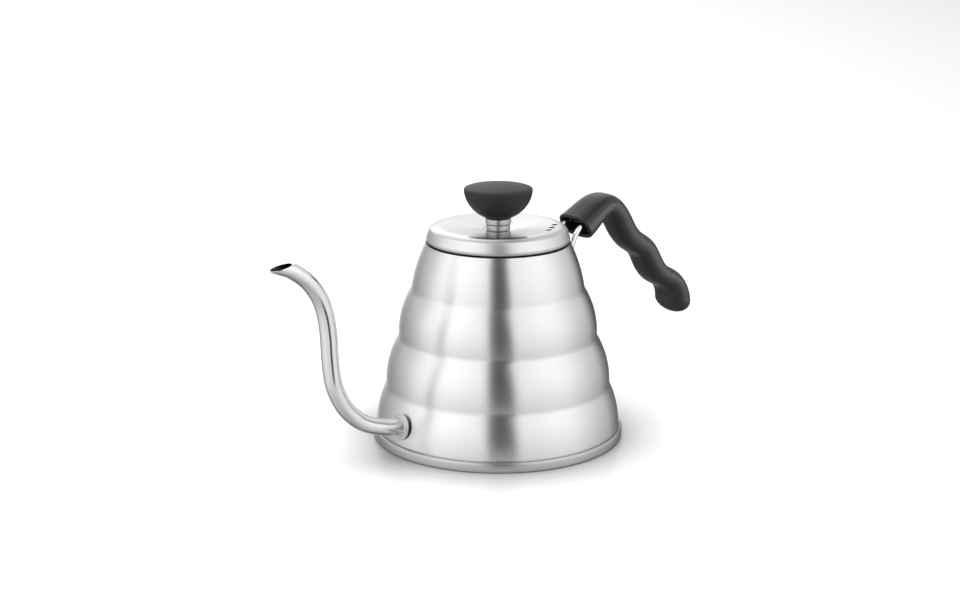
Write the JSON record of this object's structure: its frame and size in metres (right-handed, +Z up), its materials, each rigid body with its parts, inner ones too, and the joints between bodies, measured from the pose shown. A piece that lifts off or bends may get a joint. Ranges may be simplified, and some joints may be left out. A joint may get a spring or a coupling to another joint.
{
  "type": "gooseneck kettle",
  "caption": "Stepped steel pour-over kettle with a slim swan-neck spout, a side handle and a lift-off lid with a bowl-shaped knob.",
  "frame": {"origin": "centre of the base, on the surface the kettle stands on", "axes": "+Z up; +X towards the handle, so the spout points to -X; Y = 0 is the plane of symmetry"},
  "size_m": [0.2996, 0.144, 0.1466],
  "materials": {
    "satin_steel": "satin steel, brushed around its axis",
    "spout_steel": "satin steel tube, brushed along its length",
    "polished_steel": "polished steel with fine turning marks",
    "fastener_steel": "plain steel",
    "brass": "machined brass",
    "grip_phenolic": "moulded black phenolic resin, satin",
    "knob_phenolic": "moulded black phenolic resin, matt"
  },
  "bodies": {
    "root": {"body_shell": "satin_steel", "base_pan": "satin_steel", "seam_ring": "satin_steel", "spout_tube": "spout_steel", "spout_collar": "polished_steel", "handle_grip": "grip_phenolic", "handle_tang": "satin_steel", "grip_screw": "fastener_steel", "grip_nut": "brass", "bracket_rod_left": "polished_steel", "bracket_rod_right": "polished_steel", "bracket_saddle": "satin_steel"},
    "lid": {"lid_cap": "polished_steel", "lid_plug_ring": "satin_steel", "stem_ring_lower": "polished_steel", "stem_ring_upper": "polished_steel", "lid_knob": "knob_phenolic", "knob_insert": "brass", "knob_washer": "fastener_steel", "knob_screw": "fastener_steel"}
  },
  "joints": [
    {"name": "lid_lift", "type": "slide", "parent": "root", "child": "lid", "axis": [0, 0, 1], "range_m": [0, 0.08]}
  ]
}
